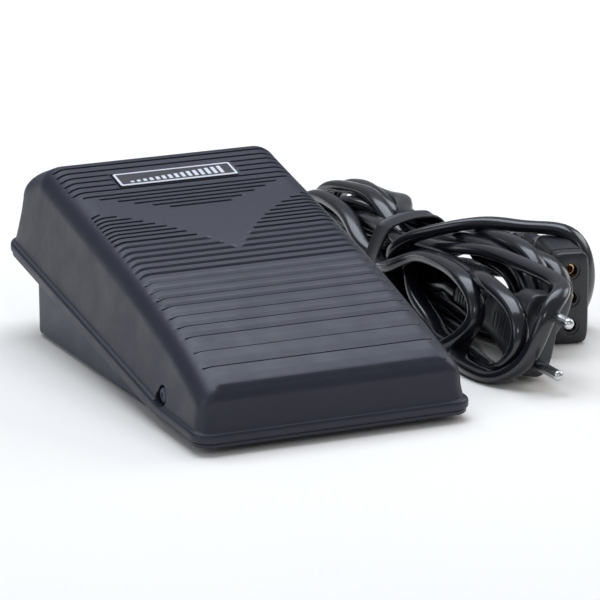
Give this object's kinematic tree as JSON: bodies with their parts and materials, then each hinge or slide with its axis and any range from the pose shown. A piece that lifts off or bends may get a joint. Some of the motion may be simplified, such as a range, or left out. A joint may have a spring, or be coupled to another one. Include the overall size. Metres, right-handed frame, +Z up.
{
  "type": "sewing machine foot control",
  "caption": "Electronic foot control: wedge treadle with cross grooves hinged over a box base holding the speed control, with a flat twin lead, machine connector and mains plug.",
  "frame": {"origin": "on the floor under the middle of the treadle's outline", "axes": "+X right, +Y towards the high end of the treadle where the lead leaves, +Z up"},
  "size_m": [0.1912, 0.2246, 0.0618],
  "materials": {
    "treadle_plastic": "satin moulded blue-black plastic",
    "base_plastic": "satin moulded blue-black plastic",
    "badge_plate": "dark plate with a pale frame and graphic",
    "cord_pvc": "glossy black PVC",
    "plug_pvc": "satin black moulded PVC",
    "soft_pvc": "soft black PVC",
    "foot_rubber": "matt black rubber",
    "steel": "nickel-plated steel",
    "brass": "bright brass",
    "white_nylon": "natural nylon",
    "circuit_board": "brown paper laminate",
    "aluminium": "extruded",
    "capacitor_red": "dipped epoxy",
    "copper_winding": "enamelled copper",
    "resistor_tan": "lacquered",
    "trimmer_blue": "moulded",
    "wire_brown": "PVC insulation",
    "wire_blue": "PVC insulation"
  },
  "bodies": {
    "base": {"base_tray": "base_plastic", "base_cover": "base_plastic", "rubber_foot_fl": "foot_rubber", "rubber_foot_fr": "foot_rubber", "rubber_foot_rl": "foot_rubber", "rubber_foot_rr": "foot_rubber", "base_screw_1": "steel", "base_screw_2": "steel", "base_screw_3": "steel", "base_screw_4": "steel", "pivot_pin_left": "base_plastic", "pivot_pin_right": "base_plastic", "track_board": "circuit_board", "return_spring": "steel", "pcb": "circuit_board", "pcb_screw_1": "steel", "pcb_screw_2": "steel", "pcb_screw_3": "steel", "triac": "plug_pvc", "heat_sink": "aluminium", "triac_screw": "steel", "film_capacitor": "capacitor_red", "choke": "copper_winding", "resistor_1": "resistor_tan", "resistor_2": "resistor_tan", "trimmer": "trimmer_blue", "terminal_block": "white_nylon", "terminal_screw_1": "steel", "terminal_screw_2": "steel", "lead_tail": "cord_pvc", "cord_clamp": "white_nylon", "clamp_screw_1": "steel", "clamp_screw_2": "steel", "wire_brown": "wire_brown", "wire_blue": "wire_blue", "strain_relief": "soft_pvc", "pedal_lead": "cord_pvc", "machine_connector": "plug_pvc", "contact_1": "brass", "contact_2": "brass", "contact_3": "brass", "connector_relief_1": "soft_pvc", "connector_relief_2": "soft_pvc", "mains_plug": "plug_pvc", "plug_pin_1": "steel", "plug_pin_2": "steel", "plug_relief": "soft_pvc", "cord_hank": "cord_pvc", "cord_tie": "soft_pvc"},
    "treadle": {"treadle": "treadle_plastic", "badge": "badge_plate"},
    "plunger": {"plunger": "white_nylon", "wiper": "brass"}
  },
  "joints": [
    {"name": "treadle_pivot", "type": "hinge", "parent": "base", "child": "treadle", "pos_m": [0, -0.0525, 0.0118], "axis": [-1, 0, 0], "range_deg": [0, 5.5], "stiffness_Nm_per_rad": 5, "springref_deg": -8.59},
    {"name": "plunger_slide", "type": "slide", "parent": "base", "child": "plunger", "axis": [0, 0, -1], "range_m": [0, 0.0082], "stiffness_N_per_m": 250, "springref_m": -0.006, "deforming": ["return_spring"]}
  ],
  "couplings": [
    {"joint": "plunger_slide", "follows": "treadle_pivot", "m_per_rad": 0.0825}
  ]
}
